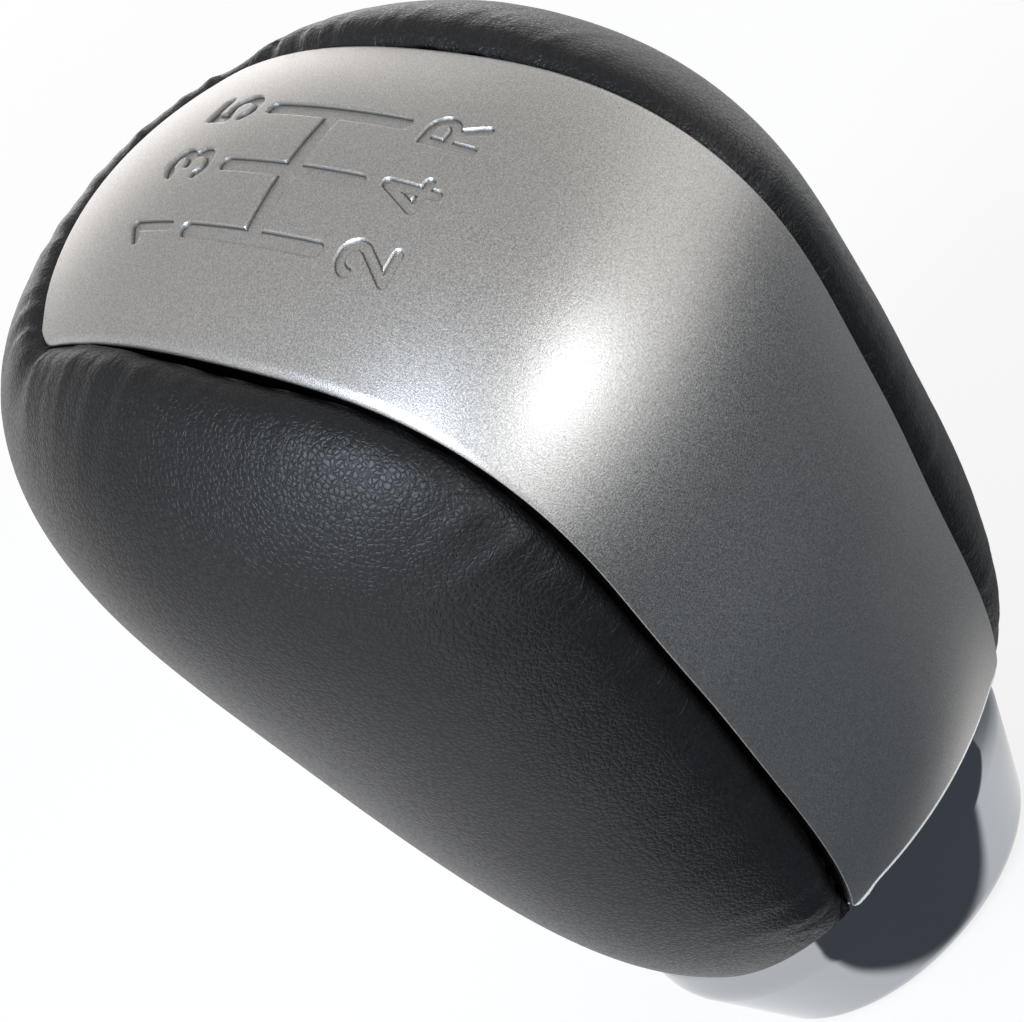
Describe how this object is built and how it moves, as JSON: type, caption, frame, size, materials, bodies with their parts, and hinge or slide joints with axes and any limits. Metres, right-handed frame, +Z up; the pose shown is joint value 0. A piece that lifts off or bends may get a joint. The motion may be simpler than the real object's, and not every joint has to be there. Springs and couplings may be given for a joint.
{
  "type": "gear lever knob",
  "caption": "Padded leather gear lever knob with a satin centre plate that carries the shift pattern, a bright collar at the foot and a threaded insert.",
  "frame": {"origin": "centre of the collar's lower edge, on the lever's axis", "axes": "+Z up the lever's axis towards the crown, +Y to the front of the car, +X to the driver's right"},
  "size_m": [0.0516, 0.0721, 0.0803],
  "materials": {
    "core": "moulded, fine texture",
    "insert_steel": "turned, zinc plated",
    "screw_steel": "zinc plated",
    "foam": "closed-cell padding foam",
    "leather": "black, fine pebble grain, soft sheen",
    "plate": "satin silver with a fine blasted grain, shift pattern engraved",
    "spring_steel": "spring steel",
    "collar_chrome": "polished"
  },
  "bodies": {
    "root": {"left_shell": "core", "right_shell": "core", "threaded_insert": "insert_steel", "shell_screw_1": "screw_steel", "shell_screw_2": "screw_steel", "shell_screw_3": "screw_steel", "shell_screw_4": "screw_steel", "left_foam": "foam", "right_foam": "foam", "leather_cover": "leather", "trim_plate": "plate", "plate_clip_1": "spring_steel", "plate_clip_2": "spring_steel", "plate_clip_3": "spring_steel", "plate_clip_4": "spring_steel", "collar": "collar_chrome", "snap_ring": "spring_steel"}
  },
  "joints": []
}
